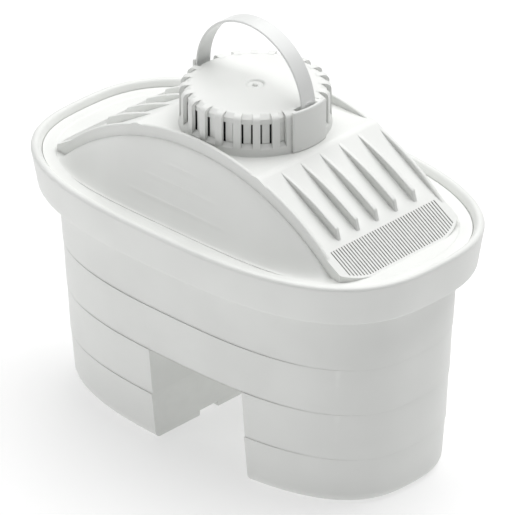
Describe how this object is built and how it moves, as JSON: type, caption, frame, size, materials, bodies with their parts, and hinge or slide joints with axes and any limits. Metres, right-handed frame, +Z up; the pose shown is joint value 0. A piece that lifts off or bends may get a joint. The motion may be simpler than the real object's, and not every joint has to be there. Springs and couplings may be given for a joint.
{
  "type": "gravity water filter cartridge",
  "caption": "Oblong white water-filter cartridge on two legs, with an arched ribbed lid, slotted vents, a round inlet cage and a lifting strap.",
  "frame": {"origin": "on the surface it stands on, below the middle of its rim", "axes": "+Z up, X along the length with the short leg at +X, Y across the width"},
  "size_m": [0.11, 0.066, 0.0975],
  "materials": {
    "shell": "satin moulded polypropylene",
    "strap": "smooth moulded polypropylene",
    "grille": "satin",
    "mesh": "fine woven polyester",
    "felt": "non-woven felt",
    "carbon": "black granules",
    "resin": "amber beads"
  },
  "bodies": {
    "cartridge": {"housing": "shell", "lid": "shell", "inlet_cage": "shell", "inlet_cap": "shell", "inlet_mesh": "mesh", "vent_mesh_left": "mesh", "vent_mesh_right": "mesh", "top_felt": "felt", "carbon_bed": "carbon", "leg_felt_left": "felt", "leg_felt_right": "felt", "resin_bed_left": "resin", "resin_bed_right": "resin", "base_felt_left": "felt", "base_felt_right": "felt", "outlet_mesh_left": "mesh", "outlet_mesh_right": "mesh", "outlet_grille_left": "grille", "outlet_grille_right": "grille"},
    "strap": {"lift_strap": "strap"}
  },
  "joints": [
    {"name": "strap_fold", "type": "hinge", "parent": "cartridge", "child": "strap", "pos_m": [0, 0, 0.08175], "axis": [1, 0, 0], "range_deg": [-30, 30]}
  ]
}
